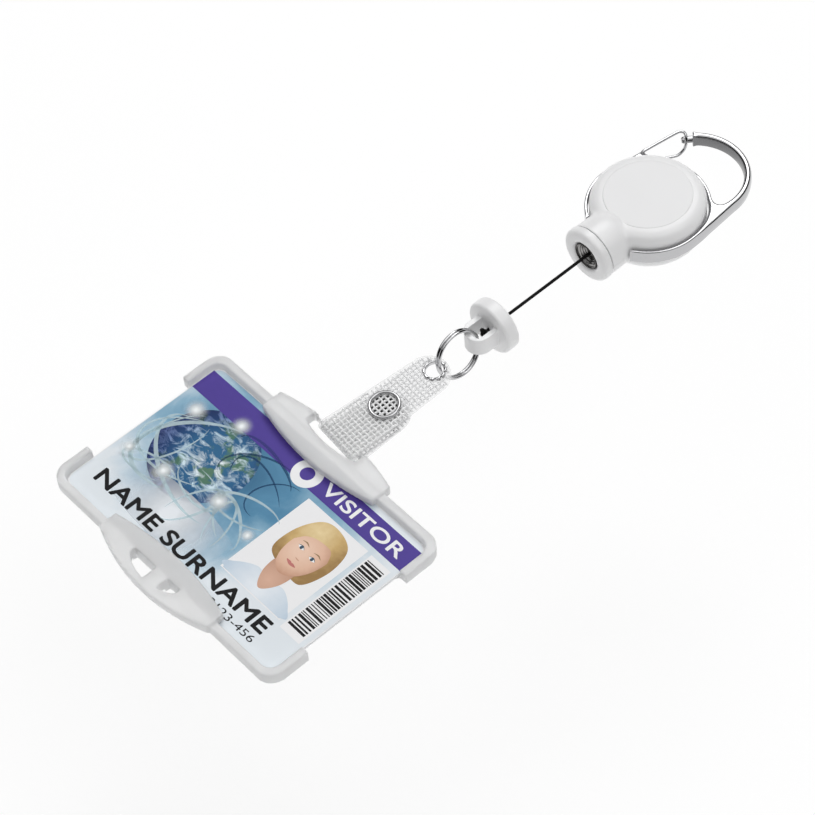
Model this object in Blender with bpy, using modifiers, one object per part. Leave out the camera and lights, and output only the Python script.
"""Retractable badge reel on a carabiner, with a strap and an ID-card holder.

The object lies on its back: +Z up, the carabiner at +Y and the card holder at -Y.
Dimensions are in millimetres from the middle of the card, on the surface it lies on.
MM turns them into metres and ORIGIN_Y moves the frame to the middle of the object.
"""
import math

import bpy
import bmesh
from mathutils import Vector

MM = 0.001
ORIGIN_Y = 71.7              # middle of the whole object, along Y
GAP = 0.3                    # clearance between neighbouring pieces

# Identity card (the standard 85.60 x 53.98 x 0.76 size) and its tray
CARD = (85.6, 53.98, 0.76)
CARD_CORNER = 3.18
CARD_Z = 1.2                 # underside of the card
TRAY_HALF_X, TRAY_TOP_Y, TRAY_BOTTOM_Y = 45.5, 30.0, -29.6
TRAY_CORNER = 5.0
TRAY_HEIGHT = 4.1
TRAY_FLOOR = 1.0
POCKET = (86.4, 54.6)
SIDE_OPENING = 16.5          # half length of the open part of each short side
TAB_HALF_X = 22.3
TAB_TOP_Z, TAB_UNDER_Z = 5.0, 2.3
BAR_Y = (33.7, 35.0)         # the bar that the strap hangs from
BAR_Z = (1.5, 3.1)

# Line of the cord, the end cap and the reel
CHAIN_X = 3.9
AXIS_Z = 8.4
REEL_Y = 144.9
HOUSING_R = 16.4
HOUSING_TOP = 14.9
HOUSING_WALL = 1.2
NECK_R = 8.2
NECK_FRONT_Y = 123.6
MOUTH_Y = 120.4
LIP_R, LIP_TUBE = 6.9, 1.5
CORD_R = 0.45
WINDING_R = 12.0             # radius at which the cord leaves the spool
SPOOL_R = 14.0

# Carabiner frame and gate, measured from the reel's centre
FRAME_HALF_Z = 2.2
RING_IN, RING_OUT = 16.7, 17.8
HOOK_C = (1.0, 17.5)
HOOK_OUT, HOOK_IN = 15.8, 13.6
HOOK_END, NOSE_END = 138.0, 150.0   # where the hook's thick part and its thin nose end, degrees
BOSS = (-14.7, 12.2)
BOSS_R = 1.3
GATE_R = 0.45

# End cap, split ring, strap
CAP_R = 8.06
CAP_Y = (84.4, 88.7)
EYE_Y = (76.8, 78.4)         # outer and inner face of the eye's bar
EYE_HALF_X, EYE_BAND = 4.0, 1.6
RING_C = (3.75, 73.3, 7.42)
RING_R = 7.0
RING_LEAN = 12.9             # degrees that the split ring leans from upright
RING_WIRE_R, RING_PITCH = 0.45, 1.0
STRAP_O = (0.45, 34.15, 2.3)
STRAP_YAW, STRAP_PITCH = -5.3, 5.92
STRAP_T = 0.7
STRAP_H = 1.85               # top face of the front layer above the bar's axis
EYELET_S, SNAP_S, FLAP_END = 31.4, 14.55, 21.0

for old in list(bpy.data.objects):
    bpy.data.objects.remove(old)

parts = bpy.data.collections.new("badge_reel")
cutters = bpy.data.collections.new("cutters")
for group in (parts, cutters):
    bpy.context.scene.collection.children.link(group)


# --------------------------------------------------------------- helpers

def world(x, y, z):
    """A point given in millimetres from the card's middle, in the object's frame."""
    return Vector((x * MM, (y - ORIGIN_Y) * MM, z * MM))


def material(name, colour, roughness, metallic=0.0, alpha=1.0):
    mat = bpy.data.materials.new(name)
    mat.use_nodes = True
    bsdf = mat.node_tree.nodes["Principled BSDF"]
    bsdf.inputs["Base Color"].default_value = (*colour, 1.0)
    bsdf.inputs["Roughness"].default_value = roughness
    bsdf.inputs["Metallic"].default_value = metallic
    bsdf.inputs["Alpha"].default_value = alpha
    return mat


def place(obj, location=(0, 0, 0), rotation=(0, 0, 0), parent=None):
    obj.location = location
    obj.rotation_euler = [math.radians(a) for a in rotation]
    if parent is not None:
        obj.parent = parent
    return obj


def add(name, mesh, cutter=False, smooth=40.0):
    """A mesh object in the parts, or a wire-drawn helper in the cutters."""
    obj = bpy.data.objects.new(name, mesh)
    (cutters if cutter else parts).objects.link(obj)
    if cutter:
        obj.hide_render = True
        obj.display_type = "WIRE"
    elif smooth:
        mesh.shade_smooth()
        mesh.set_sharp_from_angle(angle=math.radians(smooth))
    return obj


def from_curve(name, curve, cutter=False):
    """The mesh of a curve, with its caps welded to its sides."""
    temp = bpy.data.objects.new(name + "_curve", curve)
    cutters.objects.link(temp)
    graph = bpy.context.evaluated_depsgraph_get()
    mesh = bpy.data.meshes.new_from_object(temp.evaluated_get(graph))
    bpy.data.objects.remove(temp)
    bm = bmesh.new()
    bm.from_mesh(mesh)
    bmesh.ops.remove_doubles(bm, verts=bm.verts, dist=1e-6)
    bmesh.ops.recalc_face_normals(bm, faces=bm.faces)
    bm.to_mesh(mesh)
    bm.free()
    return add(name, mesh, cutter)


def prism(name, outline, z0, z1, cutter=False):
    """A flat outline in millimetres, extruded from z0 to z1."""
    curve = bpy.data.curves.new(name, "CURVE")
    curve.dimensions = "2D"
    curve.fill_mode = "BOTH"
    curve.extrude = (z1 - z0) / 2 * MM
    spline = curve.splines.new("POLY")
    spline.points.add(len(outline) - 1)
    for point, (x, y) in zip(spline.points, outline):
        point.co = (x * MM, y * MM, 0, 1)
    spline.use_cyclic_u = True
    obj = from_curve(name, curve, cutter)
    for vert in obj.data.vertices:
        vert.co.z += (z0 + z1) / 2 * MM
    return obj


def wire(name, points, radius, resolution=2, cutter=False):
    """A round wire with filled ends through the points, in millimetres."""
    curve = bpy.data.curves.new(name, "CURVE")
    curve.dimensions = "3D"
    curve.bevel_depth = radius * MM
    curve.bevel_resolution = resolution
    curve.use_fill_caps = True
    spline = curve.splines.new("POLY")
    spline.points.add(len(points) - 1)
    for point, co in zip(spline.points, points):
        point.co = (*[c * MM for c in co], 1)
    return from_curve(name, curve, cutter)


def turned(name, profile, steps=64, closed=False, cutter=False):
    """A profile of (radius, height) in millimetres turned about local Z."""
    mesh = bpy.data.meshes.new(name)
    count = len(profile)
    edges = [(i, i + 1) for i in range(count - 1)] + ([(count - 1, 0)] if closed else [])
    mesh.from_pydata([(r * MM, 0, z * MM) for r, z in profile], edges, [])
    obj = add(name, mesh, cutter, smooth=0)
    screw = obj.modifiers.new("turn", "SCREW")
    screw.steps = screw.render_steps = steps
    screw.use_merge_vertices = True
    screw.merge_threshold = 0.00001
    screw.use_smooth_shade = True
    return obj


def box(name, low, high, cutter=True):
    mesh = bpy.data.meshes.new(name)
    bm = bmesh.new()
    bmesh.ops.create_cube(bm, size=1.0)
    for vert in bm.verts:
        for i in range(3):
            vert.co[i] = (low[i] + (vert.co[i] + 0.5) * (high[i] - low[i])) * MM
    bm.to_mesh(mesh)
    bm.free()
    return add(name, mesh, cutter, smooth=0)


def boolean(obj, other, operation="DIFFERENCE"):
    mod = obj.modifiers.new(operation.lower(), "BOOLEAN")
    mod.operation = operation
    mod.solver = "EXACT"
    mod.object = other


def bevel(obj, width, segments=2, angle=40.0):
    mod = obj.modifiers.new("round", "BEVEL")
    mod.width = width * MM
    mod.segments = segments
    mod.limit_method = "ANGLE"
    mod.angle_limit = math.radians(angle)


def arc(cx, cy, r, a0, a1, n):
    """Points on an arc, from angle a0 to a1 in degrees."""
    return [(cx + r * math.cos(math.radians(a0 + (a1 - a0) * i / n)),
             cy + r * math.sin(math.radians(a0 + (a1 - a0) * i / n))) for i in range(n + 1)]


def round_rect(x0, y0, x1, y1, r, n=5):
    corners = ((x1 - r, y1 - r, 0), (x0 + r, y1 - r, 90), (x0 + r, y0 + r, 180), (x1 - r, y0 + r, 270))
    return [p for cx, cy, a in corners for p in arc(cx, cy, r, a, a + 90, n)]


def bow(x0, x1, y_end, y_mid, n):
    """A shallow arch from x0 to x1, at y_end at both ends and y_mid in the middle."""
    points = []
    for i in range(n + 1):
        t = 2 * i / n - 1
        points.append(((x0 + x1) / 2 + t * (x1 - x0) / 2, y_mid + (y_end - y_mid) * t * t))
    return points


WHITE = (0.86, 0.86, 0.86)
white = material("white_plastic", WHITE, 0.28)
inset = material("reel_plastic", (0.83, 0.83, 0.83), 0.3)
chrome = material("chrome", (0.75, 0.75, 0.76), 0.08, 1.0)
steel = material("steel", (0.6, 0.6, 0.62), 0.2, 1.0)
dark_steel = material("dark_steel", (0.2, 0.2, 0.21), 0.35, 1.0)
black = material("cord_black", (0.012, 0.012, 0.012), 0.7)
frosted = material("frosted_plastic", (0.8, 0.82, 0.84), 0.35, 0.0, 0.55)
vinyl = material("clear_vinyl", (0.82, 0.83, 0.84), 0.3, 0.0, 0.6)
print_card = material("card_print", (0.45, 0.55, 0.68), 0.3)


def finish(obj, mat):
    obj.data.materials.append(mat)
    return obj


# --------------------------------------------------------------- reel housing

reel_centre = world(CHAIN_X, REEL_Y, 0)


def front_profile():
    """The front's outside, from the middle of the disc down to the seam."""
    flat = [(0, HOUSING_TOP), (12.6, HOUSING_TOP), (12.8, 14.6), (13.15, 14.6), (13.4, 14.8)]
    shoulder = [(13.4 + 3.0 * math.sin(math.radians(a)), 11.4 + 3.35 * math.cos(math.radians(a)))
                for a in (15, 35, 60, 90)]
    return flat + shoulder + [(HOUSING_R, AXIS_Z)]


def rear_profile():
    """The rear's outside, from the seam down to its flat back."""
    shoulder = [(12.2 + 4.2 * math.cos(math.radians(a)), 6.2 - 6.1 * math.sin(math.radians(a)))
                for a in (0, 25, 50, 75, 90)]
    return [(HOUSING_R, AXIS_Z)] + shoulder + [(0, 0.1)]


def neck_profile():
    """The neck's outside along the cord's line, from its front to inside the housing."""
    length = 9.4
    back = [(NECK_R - 2.4 * (1 - math.cos(math.radians(a))), 4.4 + 5.0 * math.sin(math.radians(a)))
            for a in range(0, 91, 30)]
    return [(0, length)] + list(reversed(back)) + [(NECK_R, 0), (0, 0)]


def cover(name, profile, cut_low, cut_high, mat):
    body = turned(name, profile, 48)
    place(body, reel_centre)
    boolean(body, neck, "UNION")
    boolean(body, cavity)
    boolean(body, bore)
    half = box(name + "_half", (-60, 60, cut_low), (60, 200, cut_high))
    half.location = world(0, 0, 0)
    boolean(body, half)
    return finish(body, mat)


neck = turned("neck", neck_profile(), 36, cutter=True)
place(neck, world(CHAIN_X, NECK_FRONT_Y, AXIS_Z), (-90, 0, 0))
cavity = turned("cavity", [(0, HOUSING_TOP - HOUSING_WALL), (13.6, HOUSING_TOP - HOUSING_WALL),
                           (15.2, 11.6), (15.2, 5.6), (12.4, 1.3), (0, 1.3)], 40, cutter=True)
place(cavity, reel_centre)
bore = turned("neck_bore", [(0, 10.0), (5.0, 10.0), (5.0, -1.0), (0, -1.0)], 28, cutter=True)
place(bore, world(CHAIN_X, NECK_FRONT_Y, AXIS_Z), (-90, 0, 0))

full = front_profile() + rear_profile()[1:]
cover("front_cover", full, -5, AXIS_Z + 0.05, white)
cover("rear_cover", full, AXIS_Z - 0.05, 30, inset)

# Lip ring round the mouth: a rounded ring with a flat back against the neck
lip = [(LIP_R + LIP_TUBE * math.cos(math.radians(a)), LIP_TUBE * (1 + math.sin(math.radians(a))))
       for a in (-90, -60, -30, 0)]
lip_in = [(5.7 - 1.5 * math.cos(math.radians(a)), LIP_TUBE * (1 - math.sin(math.radians(a))))
          for a in (0, 30, 60, 90)]
depth = NECK_FRONT_Y - GAP - MOUTH_Y
collar = turned("mouth_collar", list(reversed(lip + [(LIP_R + LIP_TUBE, depth), (4.2, depth)] + lip_in[:-1])),
                44, closed=True)
place(collar, world(CHAIN_X, MOUTH_Y, AXIS_Z), (-90, 0, 0))
finish(collar, white)

bush = turned("cord_bush", [(3.95, 7.4), (3.95, 0.0), (3.55, 0.0), (3.2, 1.6), (1.6, 4.0), (0.95, 5.4),
                            (0.95, 7.4)], 28, closed=True)
place(bush, world(CHAIN_X, MOUTH_Y + 0.6, AXIS_Z), (-90, 0, 0))
finish(bush, dark_steel)


# --------------------------------------------------------------- works inside

axle = turned("axle", [(0, 13.4), (2.0, 13.4), (2.0, 1.6), (0, 1.6)], 24)
place(axle, reel_centre)
finish(axle, steel)

spool_z = (5.5, 6.3, 10.5, 11.3)
spool = turned("spool", [(SPOOL_R, spool_z[3]), (SPOOL_R, spool_z[2]), (9.0, spool_z[2]), (9.0, spool_z[1]),
                         (SPOOL_R, spool_z[1]), (SPOOL_R, spool_z[0]), (2.08, spool_z[0]),
                         (2.08, spool_z[1]), (8.2, spool_z[1]), (8.2, spool_z[3])], 40, closed=True)
place(spool, reel_centre)
finish(spool, inset)

winding = turned("cord_winding", [(11.0, 10.1), (11.4, 9.7), (11.4, 7.1), (11.0, 6.7), (9.2, 6.7),
                                  (9.2, 10.1)], 36, closed=True)
place(winding, reel_centre)
finish(winding, black)


def spiral(r0, r1, turns, half, n):
    """Outline of a flat spiral strip: out along one face and back along the other."""
    def side(offset):
        points = []
        for i in range(n + 1):
            t = i / n
            r = r0 + (r1 - r0) * t + offset
            a = 2 * math.pi * turns * t
            points.append((r * math.cos(a), r * math.sin(a)))
        return points
    return side(half) + list(reversed(side(-half)))


spring = prism("power_spring", spiral(2.6, 7.7, 4.0, 0.16, 64), 6.7, 10.9)
place(spring, reel_centre)
finish(spring, steel)


# --------------------------------------------------------------- carabiner frame and gate

def frame_outline():
    """Ring round the housing, web and hook, as one outline that is open at the gate."""
    neck_half = NECK_R + GAP + 0.1
    a_out = math.degrees(math.asin(neck_half / RING_OUT))
    a_in = math.degrees(math.asin(neck_half / RING_IN))
    hx, hy = HOOK_C
    points = arc(0, 0, RING_OUT, a_out - 90, 0, 8)
    points += arc(hx, hy, HOOK_OUT, 0, HOOK_END, 20)
    points += arc(hx, hy, HOOK_IN, HOOK_END, 0, 18)
    points += [(14.5, 16.2), (13.9, 14.9), (13.0, 14.1), (12.1, 13.9), (11.3, 14.2)]
    points += arc(0, 0, RING_OUT, 53, 127, 9)
    points += arc(BOSS[0], BOSS[1], BOSS_R, 60, 190, 6)
    points += arc(0, 0, RING_OUT, 180, 270 - a_out, 7)
    points += arc(0, 0, RING_IN, 270 - a_in, a_in - 90, 36)
    return points


frame = prism("carabiner_frame", frame_outline(), AXIS_Z - FRAME_HALF_Z, AXIS_Z + FRAME_HALF_Z)
place(frame, reel_centre)
bevel(frame, 0.4, 1, 50)
nose = wire("nose", [(x, y, AXIS_Z) for x, y in arc(*HOOK_C, (HOOK_OUT + HOOK_IN) / 2, HOOK_END - 4, NOSE_END, 5)],
            1.0, 3, cutter=True)
place(nose, reel_centre)
boolean(frame, nose, "UNION")
pivot = turned("gate_bore", [(0, 20), (GATE_R + 0.08, 20), (GATE_R + 0.08, -4), (0, -4)], 24, cutter=True)
place(pivot, reel_centre + Vector((BOSS[0] * MM, BOSS[1] * MM, 0)))
boolean(frame, pivot)
finish(frame, chrome)

# The gate's origin is on its pivot, in the middle of the boss
gate_path = [(0, 0, 0.9), (0, 0, 2.85), (0.3, 1.9, 2.85), (1.7, 12.0, 2.72), (2.1, 13.0, 2.72), (2.9, 13.6, 2.7),
             (3.8, 13.5, 2.3), (4.6, 12.9, 1.2), (5.0, 12.4, 0.0), (5.0, 11.7, -1.4), (4.7, 10.5, -2.5),
             (4.3, 9.3, -2.85), (2.2, 5.5, -2.85), (0.6, 1.8, -2.85), (0, 0, -2.85), (0, 0, -0.9)]
gate = wire("gate_wire", gate_path, GATE_R)
place(gate, reel_centre + Vector((BOSS[0] * MM, BOSS[1] * MM, AXIS_Z * MM)))
finish(gate, chrome)


# --------------------------------------------------------------- cord, end cap, split ring

bush_back = MOUTH_Y + 0.6 + 7.4 + GAP
reach = REEL_Y - bush_back
leave = math.acos(WINDING_R / reach)
cord_path = [(CHAIN_X + WINDING_R * math.sin(leave), REEL_Y - WINDING_R * math.cos(leave), AXIS_Z),
             (CHAIN_X + 0.3, bush_back + 0.3, AXIS_Z), (CHAIN_X, bush_back - 0.4, AXIS_Z),
             (CHAIN_X, CAP_Y[0] - 0.05, AXIS_Z)]
cord = wire("cord", cord_path, CORD_R)
place(cord, world(0, 0, 0))
finish(cord, black)

mesh = bpy.data.meshes.new("cord_knot")
bm = bmesh.new()
bmesh.ops.create_icosphere(bm, subdivisions=2, radius=1.45 * MM)
bm.to_mesh(mesh)
bm.free()
knot = place(add("cord_knot", mesh), world(CHAIN_X, CAP_Y[0] - 1.65, AXIS_Z))
finish(knot, black)

cap_len = CAP_Y[1] - CAP_Y[0]
edge = [(CAP_R - 0.9 + 0.9 * math.sin(math.radians(a)), cap_len - 0.9 + 0.9 * math.cos(math.radians(a)))
        for a in (0, 45, 90)]
cap = turned("end_cap", [(0, cap_len)] + edge + [(r, cap_len - z) for r, z in reversed(edge)] + [(0, 0)], 40)
place(cap, world(CHAIN_X, CAP_Y[0], AXIS_Z), (-90, 0, 0))
inner_half = EYE_HALF_X - EYE_BAND
eye = [(inner_half, CAP_Y[0] + 1.0)] + arc(inner_half - 0.9, EYE_Y[1] + 0.9, 0.9, 0, -90, 4)
eye += arc(0.9 - inner_half, EYE_Y[1] + 0.9, 0.9, -90, -180, 4)
eye += [(-inner_half, CAP_Y[0] + 1.0), (-EYE_HALF_X, CAP_Y[0] + 1.0)]
eye += arc(0, EYE_Y[0] + EYE_HALF_X, EYE_HALF_X, 180, 360, 12) + [(EYE_HALF_X, CAP_Y[0] + 1.0)]
stirrup = prism("stirrup", eye, AXIS_Z - 3.0, AXIS_Z + 3.0, cutter=True)
place(stirrup, world(CHAIN_X, 0, 0))
bevel(stirrup, 0.4, 1, 50)
boolean(cap, stirrup, "UNION")
cord_hole = turned("cord_hole", [(0, 5), (0.75, 5), (0.75, -1), (0, -1)], 24, cutter=True)
place(cord_hole, world(CHAIN_X, CAP_Y[0], AXIS_Z), (-90, 0, 0))
boolean(cap, cord_hole)
finish(cap, white)


def ring_path(first, last, cross, width, n):
    """Two turns side by side; the wire steps across to the second turn at one place."""
    points = []
    for i in range(n + 1):
        a = first + (last - first) * i / n
        t = min(1.0, max(0.0, (a - cross) / width + 0.5))
        side = RING_PITCH * (t * t * (3 - 2 * t) - 0.5)
        points.append((side, RING_R * math.cos(math.radians(a)), RING_R * math.sin(math.radians(a))))
    return points


ring = wire("split_ring", ring_path(20, 700, 360, 28, 68), RING_WIRE_R, 1)
place(ring, world(*RING_C), (0, -RING_LEAN, 0))
finish(ring, steel)


# --------------------------------------------------------------- strap
# Local frame: origin on the axis of the holder's bar, Y along the strap, Z out of its front

strap_frame = bpy.data.objects.new("strap_frame", None)
parts.objects.link(strap_frame)
place(strap_frame, world(*STRAP_O), (STRAP_PITCH, 0, STRAP_YAW))


def half_width(s):
    return 8.0 - 1.5 * min(max((s + 2.0) / 30.0, 0.0), 1.0)


def strap_outline(s0, s1, tip):
    """Tapering strip from s0 to s1 with a rounded end of length tip."""
    base = s1 - tip
    right = [(half_width(s0), s0), (half_width(base), base)]
    cap_points = [(half_width(base) * math.cos(math.radians(a)), base + tip * math.sin(math.radians(a)))
                  for a in range(12, 169, 12)]
    left = [(-x, y) for x, y in reversed(right)]
    return right + cap_points + left


strap = prism("strap", strap_outline(-0.5, EYELET_S + 4.0, 6.5), STRAP_H - STRAP_T, STRAP_H)
place(strap, parent=strap_frame)
fold_r = STRAP_H - 0.02
fold_outline = [(2.0, fold_r)] + arc(-0.5, 0, fold_r, 90, 270, 14) + [(-0.3, -fold_r)]
fold_outline += [(-0.3, -(STRAP_H - STRAP_T + 0.02))]
fold_outline += arc(-0.5, 0, STRAP_H - STRAP_T + 0.02, 270, 90, 10) + [(2.0, STRAP_H - STRAP_T + 0.02)]
fold = prism("fold", fold_outline, -7.95, 7.95, cutter=True)
place(fold, rotation=(90, 0, 90), parent=strap_frame)
boolean(strap, fold, "UNION")
eyelet_hole = turned("eyelet_hole", [(0, 4), (2.75, 4), (2.75, 0), (0, 0)], 32, cutter=True)
place(eyelet_hole, (0, EYELET_S * MM, 0), parent=strap_frame)
boolean(strap, eyelet_hole)
finish(strap, vinyl)

# The flap's origin is on the line where it bends away from the fold
flap = prism("strap_flap", strap_outline(0.0, FLAP_END, 7.0), -STRAP_T / 2, STRAP_T / 2)
place(flap, (0, 0.15 * MM, (STRAP_T / 2 - STRAP_H) * MM), parent=strap_frame)
finish(flap, vinyl)

top = STRAP_H
eyelet = turned("eyelet", [(2.6, top + 0.5), (3.3, top + 0.3), (3.3, top + 0.08), (2.6, top + 0.08),
                           (2.6, top - STRAP_T - 0.08), (3.3, top - STRAP_T - 0.08), (3.3, top - STRAP_T - 0.3),
                           (2.6, top - STRAP_T - 0.5), (2.3, top - STRAP_T - 0.3), (2.3, top + 0.3)],
                24, closed=True)
place(eyelet, (0, EYELET_S * MM, 0), parent=strap_frame)
finish(eyelet, chrome)


def snap_piece(name, profile, mat):
    piece = turned(name, profile, 28, closed=profile[0][0] > 0)
    place(piece, (0, SNAP_S * MM, 0), parent=strap_frame)
    return finish(piece, mat)


snap_ring_profile = [(4.1 + 0.5 * math.cos(math.radians(a)), top + 0.56 + 0.5 * math.sin(math.radians(a)))
                     for a in range(90, -270, -60)]
snap_piece("snap_ring", snap_ring_profile, chrome)
under = top - STRAP_T
snap_piece("snap_socket", [(4.0, under - 0.08), (4.2, under - 0.5), (3.6, under - 1.1), (2.3, under - 1.2),
                           (1.9, under - 0.9), (1.9, under - 0.5), (1.2, under - 0.3), (1.2, under - 0.08)],
           dark_steel)
flap_top = STRAP_T - STRAP_H
snap_piece("snap_stud", [(0, flap_top + 1.3), (1.2, flap_top + 1.3), (1.6, flap_top + 1.05),
                         (1.45, flap_top + 0.7), (1.5, flap_top + 0.45), (4.0, flap_top + 0.4),
                         (4.0, flap_top + 0.08), (0, flap_top + 0.08)], dark_steel)
snap_piece("snap_back_ring", [(r, -z - 0.0) for r, z in reversed(
    [(4.1 + 0.5 * math.cos(math.radians(a)), top + 0.56 + 0.5 * math.sin(math.radians(a)))
     for a in range(90, -270, -60)])], chrome)


# --------------------------------------------------------------- card holder and card

holder = prism("card_holder", round_rect(-TRAY_HALF_X, TRAY_BOTTOM_Y, TRAY_HALF_X, TRAY_TOP_Y, TRAY_CORNER),
               0.0, TRAY_HEIGHT)
place(holder, world(0, 0, 0))
bevel(holder, 0.5, 1, 50)


def cut(name, outline, z0, z1, operation="DIFFERENCE", rounding=0.0):
    tool = prism(name, outline, z0, z1, cutter=True)
    place(tool, world(0, 0, 0))
    if rounding:
        bevel(tool, rounding, 1, 50)
    boolean(holder, tool, operation)


cut("pocket", round_rect(-POCKET[0] / 2, -POCKET[1] / 2, POCKET[0] / 2, POCKET[1] / 2, CARD_CORNER),
    TRAY_FLOOR, 9.0)
for side in (-1, 1):
    x0, x1 = sorted((side * 42.4, side * 49.0))
    cut("side_%s" % ("left" if side < 0 else "right"), round_rect(x0, -SIDE_OPENING, x1, SIDE_OPENING, 1.4),
        -1.0, 9.0)


def lens(outer_end, outer_mid, inner_end, inner_mid, half=TAB_HALF_X):
    """Outline of a retaining tab: outer arch and the shallower arch over the card."""
    return bow(-half, half, inner_end, inner_mid, 14) + list(reversed(bow(-half, half, outer_end, outer_mid, 16)))


TOP_TAB = dict(outer_end=32.0, outer_mid=35.0)
BOTTOM_TAB = dict(outer_end=-30.5, outer_mid=-34.8)
cut("top_tab", lens(inner_end=25.5, inner_mid=22.5, **TOP_TAB), TAB_UNDER_Z, TAB_TOP_Z, "UNION", 0.4)
cut("top_tab_root", lens(inner_end=28.4, inner_mid=28.4, half=TAB_HALF_X - 0.1, outer_end=31.95,
                         outer_mid=34.95), BAR_Z[0], 4.0, "UNION")
cut("bottom_tab", list(reversed(lens(inner_end=-25.0, inner_mid=-22.3, **BOTTOM_TAB))), TAB_UNDER_Z,
    TAB_TOP_Z, "UNION", 0.4)
cut("bottom_tab_root", list(reversed(lens(inner_end=-28.4, inner_mid=-28.4, half=TAB_HALF_X - 0.1,
                                          outer_end=-30.45, outer_mid=-34.75))), 1.5, 4.0, "UNION")
cut("strap_slot", bow(-10.3, 9.8, 30.8, 29.4, 10) + [(9.8, BAR_Y[0]), (-10.3, BAR_Y[0])], -1.0, 9.0)
cut("strap_recess", [(-9.2, 33.4), (10.0, 33.4), (10.0, 37.0), (-9.2, 37.0)], BAR_Z[1], 9.0)
for x0, x1 in ((-10.0, -1.3), (3.7, 8.5)):
    low = [(x, -28.4 - 4.3 * math.sqrt(max(0.0, 1 - ((x + 0.75) / 9.6) ** 2))) for x in
           [x0 + (x1 - x0) * i / 6 for i in range(7)]]
    cut("thumb_slot_%d" % (x0 > 0), low + [(x1, -28.2), (x0, -28.2)], -1.0, 9.0)
finish(holder, frosted)

card = prism("id_card", round_rect(-CARD[0] / 2, -CARD[1] / 2, CARD[0] / 2, CARD[1] / 2, CARD_CORNER),
             CARD_Z, CARD_Z + CARD[2])
place(card, world(0, 0, 0))
finish(card, print_card)
